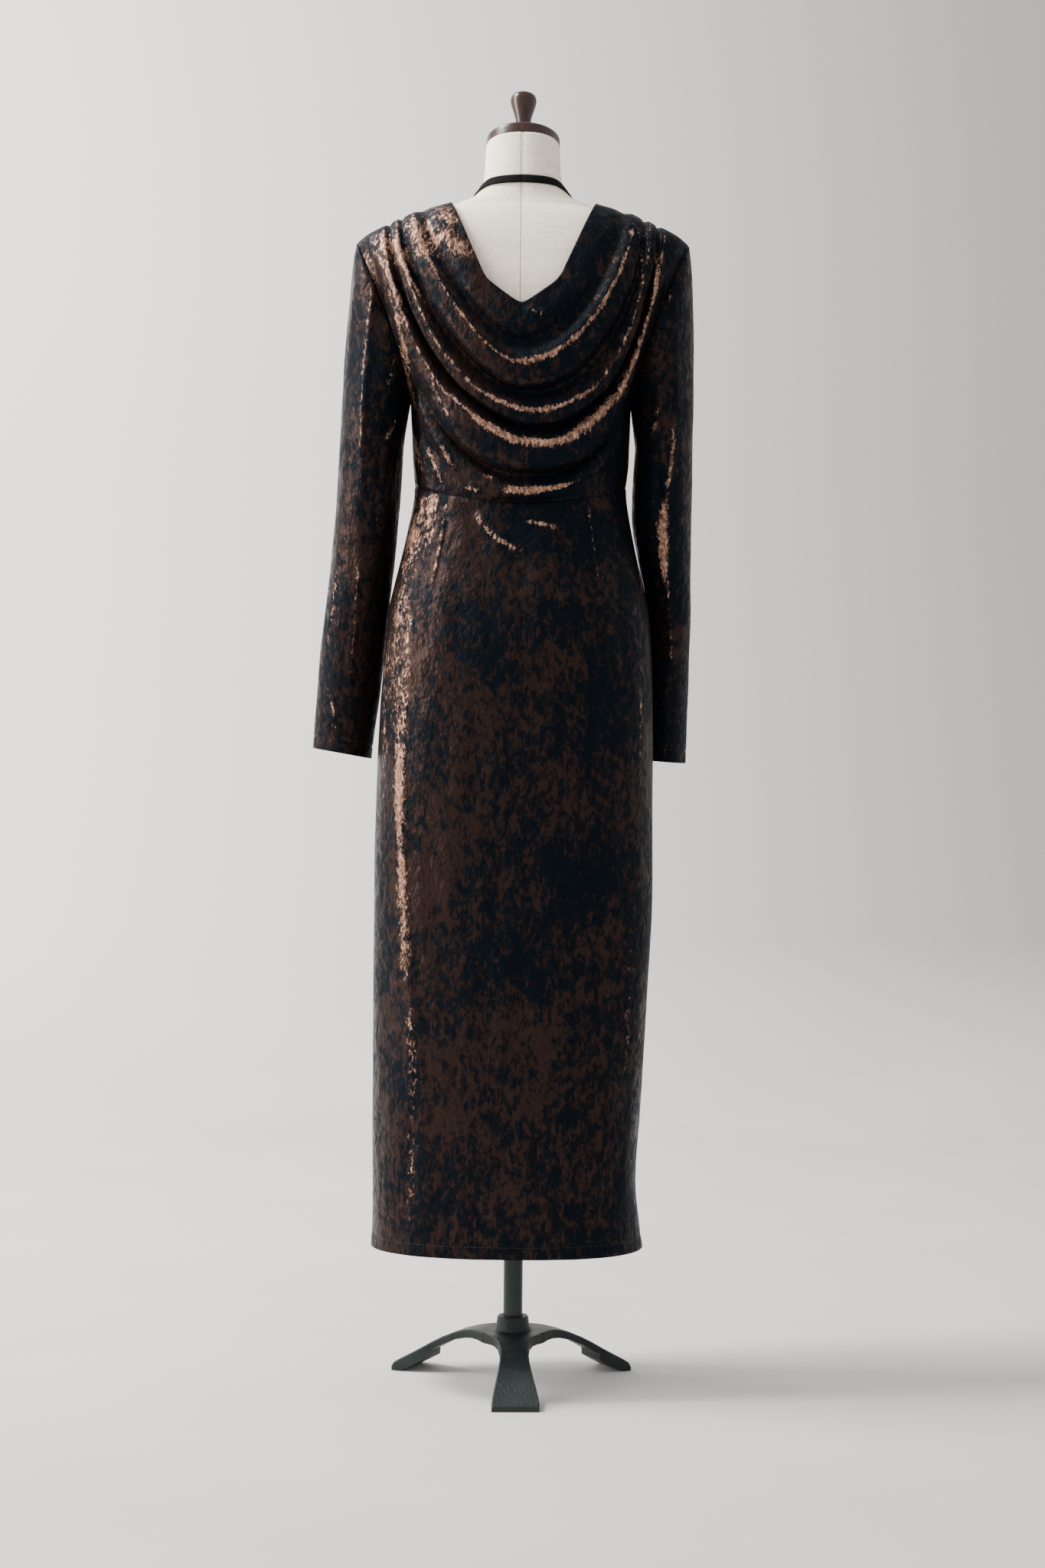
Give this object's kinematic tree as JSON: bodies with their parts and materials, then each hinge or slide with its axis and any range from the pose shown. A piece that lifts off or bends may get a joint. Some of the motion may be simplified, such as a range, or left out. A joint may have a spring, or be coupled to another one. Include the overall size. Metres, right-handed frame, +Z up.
{
  "type": "draped dress on a dress form stand",
  "caption": "Long-sleeved column dress in crushed velvet with a cowl-draped back, worn by a limbless linen dress form on a post with an arched iron foot.",
  "frame": {"origin": "on the floor, at the middle of the bottom of the part's box, where the foot of the stand rests", "axes": "+Z up along the post; the front of the dress faces -Y and its back +Y; +X is the wearer's left"},
  "size_m": [0.4538, 0.2828, 1.5417],
  "materials": {
    "velvet": "crushed velvet, brown, satin sheen on the crests",
    "ribbon": "black velvet ribbon, matte",
    "linen": "off-white linen, matte, plain weave",
    "dark_wood": "turned dark red-brown wood, satin varnish",
    "post_metal": "grey-green paint, satin",
    "cast_iron": "painted casting, grey-green, satin with a fine grain"
  },
  "bodies": {
    "root": {"bodice_back": "velvet", "bodice_front": "velvet", "skirt_back": "velvet", "skirt_front": "velvet", "sleeve_left": "velvet", "sleeve_right": "velvet", "neck_strap": "ribbon", "dress_form": "linen", "neck_cap": "dark_wood", "cap_knob": "dark_wood", "post": "post_metal", "stand_base": "cast_iron"}
  },
  "joints": []
}
